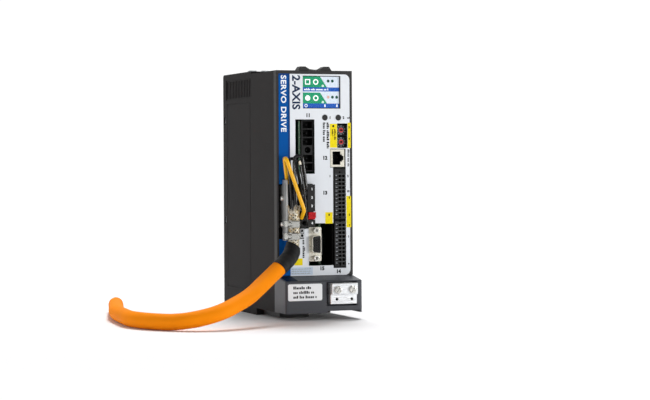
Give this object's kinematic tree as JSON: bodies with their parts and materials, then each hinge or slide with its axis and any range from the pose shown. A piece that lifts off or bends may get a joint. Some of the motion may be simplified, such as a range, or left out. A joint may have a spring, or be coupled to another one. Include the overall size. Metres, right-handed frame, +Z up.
{
  "type": "servo drive",
  "caption": "Upright servo drive with a colour display, front signal, network and encoder connectors, a finned heat sink with fan, and a shielded motor lead clamped to its front.",
  "frame": {"origin": "mouth of the lower wall slot: middle of the width, on the wall mounting plane, at the standing surface", "axes": "+X to the right seen from the front, +Y from the front face towards the wall, +Z up"},
  "size_m": [0.2211, 0.2518, 0.2316],
  "materials": {
    "galvanised_sheet": "galvanised, lightly spangled",
    "housing_plastic": "fine moulded texture, dark grey",
    "cover_plastic": "fine moulded texture, near black",
    "hood_plastic": "fine moulded texture, blue grey",
    "blue_foil": "printed polyester foil, satin",
    "white_foil": "printed polyester foil, satin",
    "label_paper": "printed adhesive label",
    "clear_window": "clear window",
    "display_glass": "lit colour display",
    "circuit_board": "solder-masked board",
    "black_connector": "moulded connector plastic",
    "black_button": "smooth moulded cap",
    "brass_posts": "turned brass",
    "sink_aluminium": "extruded, mill finish",
    "plated_screws": "zinc plated",
    "module_case": "moulded module case",
    "capacitor_sleeve": "printed shrink sleeve",
    "fan_plastic": "glass-filled plastic",
    "guard_steel": "nickel plated wire",
    "latch_red": "moulded red lever",
    "tinned_shell": "tin plated pressing",
    "gold_contacts": "gold flashed contacts",
    "nickel_screws": "nickel plated",
    "rotor_red": "moulded red rotor",
    "terminal_metal": "bright tin plating",
    "shield_steel": "rolled stainless sheet",
    "clamp_steel": "stainless band",
    "braid_wire": "tinned copper braid",
    "shrink_sleeve": "satin black shrink sleeve",
    "orange_jacket": "satin orange cable jacket",
    "core_insulation": "cable core insulation",
    "black_insulation": "satin wire insulation",
    "yellow_insulation": "satin wire insulation",
    "thin_insulation": "satin wire insulation"
  },
  "bodies": {
    "drive": {"back_plate": "galvanised_sheet", "left_shell": "housing_plastic", "right_shell": "housing_plastic", "front_cover": "cover_plastic", "lower_hood": "hood_plastic", "top_guide": "cover_plastic", "blue_overlay": "blue_foil", "white_overlay": "white_foil", "type_label": "label_paper", "display_lens": "clear_window", "display_module": "display_glass", "display_board": "circuit_board", "tact_switches": "black_connector", "control_board": "circuit_board", "io_board": "circuit_board", "encoder_board": "circuit_board", "power_board": "circuit_board", "board_posts": "brass_posts", "heat_sink": "sink_aluminium", "heat_sink_screws": "plated_screws", "power_module": "module_case", "dc_capacitors": "capacitor_sleeve", "fan_frame": "fan_plastic", "fan_guard": "guard_steel", "fan_screws": "plated_screws", "aux_header": "black_connector", "motor_header": "black_connector", "motor_plug": "black_connector", "io_header_upper": "black_connector", "io_header_lower": "black_connector", "rj45_shell": "tinned_shell", "rj45_insert": "black_connector", "rj45_contacts": "gold_contacts", "dsub_shell": "tinned_shell", "dsub_insert": "black_connector", "dsub_jackscrews": "nickel_screws", "rotary_bodies": "black_connector", "earth_block": "terminal_metal", "earth_screws": "nickel_screws", "supply_header": "black_connector", "shield_plate": "shield_steel", "shield_screws": "nickel_screws", "hose_clamps": "clamp_steel", "clamp_screws": "clamp_steel", "cable_braid": "braid_wire", "cable_sleeve": "shrink_sleeve", "cable_jacket": "orange_jacket", "cable_cores": "core_insulation", "power_wires": "black_insulation", "ground_wire": "yellow_insulation", "brake_wires": "thin_insulation"},
    "button_b1": {"button_b1": "black_button"},
    "button_b2": {"button_b2": "black_button"},
    "rotor_s1": {"rotor_s1": "rotor_red"},
    "rotor_s2": {"rotor_s2": "rotor_red"},
    "fan_rotor": {"fan_impeller": "fan_plastic"},
    "upper_io_plug": {"io_plug_upper": "black_connector"},
    "lower_io_plug": {"io_plug_lower": "black_connector"},
    "release_latch": {"motor_plug_latch": "latch_red"},
    "bottom_plug": {"supply_plug": "black_connector"}
  },
  "joints": [
    {"name": "button_b1_press", "type": "slide", "parent": "drive", "child": "button_b1", "axis": [0, 1, 0], "range_m": [0, 0.0005]},
    {"name": "button_b2_press", "type": "slide", "parent": "drive", "child": "button_b2", "axis": [0, 1, 0], "range_m": [0, 0.0005]},
    {"name": "rotor_s1_turn", "type": "hinge", "parent": "drive", "child": "rotor_s1", "pos_m": [0.0264, -0.155, 0.1704], "axis": [0, 1, 0], "continuous": true},
    {"name": "rotor_s2_turn", "type": "hinge", "parent": "drive", "child": "rotor_s2", "pos_m": [0.0264, -0.155, 0.1596], "axis": [0, 1, 0], "continuous": true},
    {"name": "fan_spin", "type": "hinge", "parent": "drive", "child": "fan_rotor", "pos_m": [0, -0.036, 0.015], "axis": [0, 0, 1], "continuous": true},
    {"name": "upper_io_plug_pull", "type": "slide", "parent": "drive", "child": "upper_io_plug", "axis": [0, -1, 0], "range_m": [0, 0.012]},
    {"name": "lower_io_plug_pull", "type": "slide", "parent": "drive", "child": "lower_io_plug", "axis": [0, -1, 0], "range_m": [0, 0.012]},
    {"name": "release_latch_tilt", "type": "hinge", "parent": "drive", "child": "release_latch", "pos_m": [-0.00665, -0.167, 0.0914], "axis": [1, 0, 0], "range_deg": [0, 15]},
    {"name": "bottom_plug_pull", "type": "slide", "parent": "drive", "child": "bottom_plug", "axis": [0, 0, -1], "range_m": [0, 0.012]}
  ]
}
